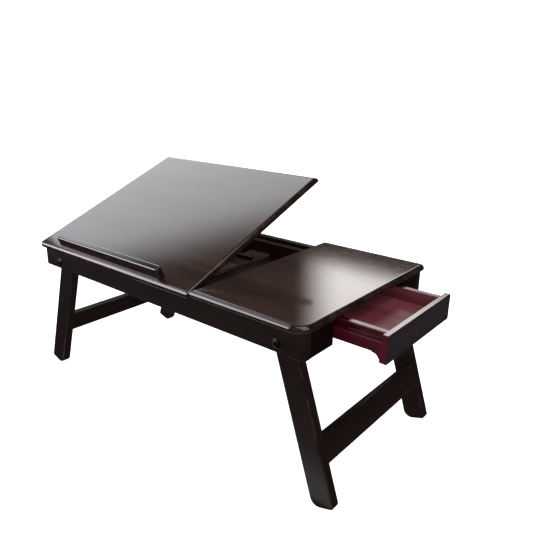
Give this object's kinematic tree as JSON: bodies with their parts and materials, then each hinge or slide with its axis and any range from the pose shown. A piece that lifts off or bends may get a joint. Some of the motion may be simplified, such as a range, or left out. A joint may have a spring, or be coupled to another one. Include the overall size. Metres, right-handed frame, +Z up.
{
  "type": "laptop stand with drawer",
  "caption": "Folding wooden lap table with a propped tilting panel and book ledge, a fixed side panel, an end drawer and two folding leg frames.",
  "frame": {"origin": "on the floor, below the middle of the overall box at rest", "axes": "+X along the table towards the drawer, +Y from the user to the back, +Z up"},
  "size_m": [0.6442, 0.312, 0.3495],
  "materials": {
    "dark_wood": "satin espresso stain",
    "top_wood": "semi-gloss espresso lacquer",
    "burgundy_wood": "gloss burgundy lacquer",
    "bronzed_steel": "bronzed",
    "zinc_steel": "zinc plated",
    "brass": "satin"
  },
  "bodies": {
    "table_frame": {"front_apron": "dark_wood", "back_apron": "dark_wood", "left_end_rail": "dark_wood", "right_end_rail_back": "dark_wood", "right_end_rail_front": "dark_wood", "front_inner_rail": "dark_wood", "back_inner_rail": "dark_wood", "compartment_divider": "dark_wood", "compartment_floor": "dark_wood", "left_tilt_rack": "dark_wood", "right_tilt_rack": "dark_wood", "leg_stops": "dark_wood", "fixed_top_panel": "top_wood", "back_drawer_spacer": "dark_wood", "front_drawer_spacer": "dark_wood", "back_drawer_bearer": "dark_wood", "front_drawer_bearer": "dark_wood", "back_drawer_kicker": "dark_wood", "front_drawer_kicker": "dark_wood", "drawer_opening_stop": "dark_wood", "hinge_frame_leaves": "brass", "hinge_pins": "brass", "pivot_bolts": "bronzed_steel", "pivot_nuts": "zinc_steel"},
    "tilting_panel": {"tilting_top_panel": "top_wood", "book_ledge": "top_wood", "hinge_panel_leaves": "brass", "prop_brackets": "dark_wood"},
    "prop": {"left_prop_arm": "dark_wood", "right_prop_arm": "dark_wood", "prop_foot_bar": "dark_wood", "prop_pivot_rod": "dark_wood"},
    "drawer": {"drawer_front": "dark_wood", "drawer_back": "burgundy_wood", "drawer_bottom": "burgundy_wood", "back_drawer_side": "burgundy_wood", "front_drawer_side": "burgundy_wood", "drawer_cove": "burgundy_wood"},
    "left_leg_frame": {"left_back_leg": "dark_wood", "left_front_leg": "dark_wood", "left_leg_stretcher": "dark_wood"},
    "right_leg_frame": {"right_back_leg": "dark_wood", "right_front_leg": "dark_wood", "right_leg_stretcher": "dark_wood"}
  },
  "joints": [
    {"name": "panel_tilt", "type": "hinge", "parent": "table_frame", "child": "tilting_panel", "pos_m": [-0.10669, -0.143, 0.2311], "axis": [1, 0, 0], "range_deg": [-21.9, 8.1]},
    {"name": "prop_swing", "type": "hinge", "parent": "tilting_panel", "child": "prop", "pos_m": [-0.10669, -0.0112, 0.27859], "axis": [-1, 0, 0], "range_deg": [-64.51, 23.86]},
    {"name": "drawer_slide", "type": "slide", "parent": "table_frame", "child": "drawer", "axis": [1, 0, 0], "range_m": [-0.071, 0.04]},
    {"name": "left_leg_fold", "type": "hinge", "parent": "table_frame", "child": "left_leg_frame", "pos_m": [-0.24094, 0, 0.2075], "axis": [0, -1, 0], "range_deg": [0, 108]},
    {"name": "right_leg_fold", "type": "hinge", "parent": "table_frame", "child": "right_leg_frame", "pos_m": [0.21106, 0, 0.2075], "axis": [0, 1, 0], "range_deg": [0, 108]}
  ],
  "couplings": [
    {"joint": "prop_swing", "follows": "panel_tilt", "ratio": 2.945}
  ]
}
